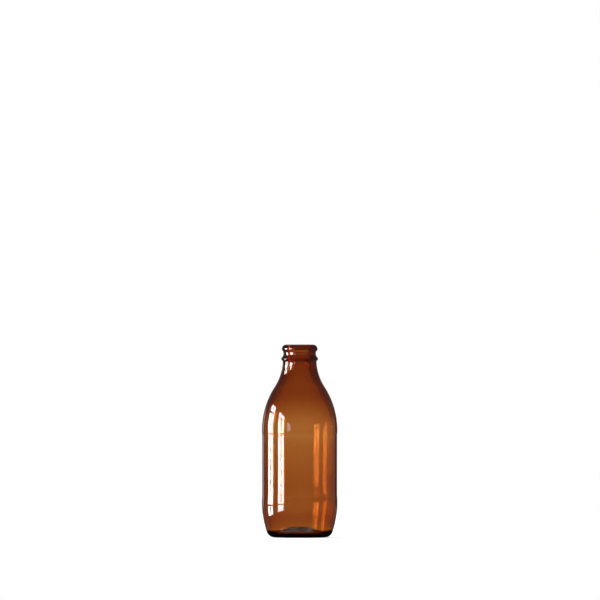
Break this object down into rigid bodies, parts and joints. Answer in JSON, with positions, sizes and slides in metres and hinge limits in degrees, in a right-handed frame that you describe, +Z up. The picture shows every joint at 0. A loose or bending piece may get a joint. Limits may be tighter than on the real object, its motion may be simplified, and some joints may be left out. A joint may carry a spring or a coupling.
{
  "type": "mineral water bottle",
  "caption": "Small round amber glass bottle for mineral water with a crown cap finish, empty and open, with a long shoulder, a shallow label panel and a knurled standing ring.",
  "frame": {"origin": "centre of the base, on the plane that the bottle stands on", "axes": "+Z up along the bottle's axis; the bottle is round, so +X and +Y are free"},
  "size_m": [0.0562, 0.0562, 0.1438],
  "materials": {
    "amber_glass": "smooth transparent amber glass"
  },
  "bodies": {
    "root": {"bottle": "amber_glass"}
  },
  "joints": []
}
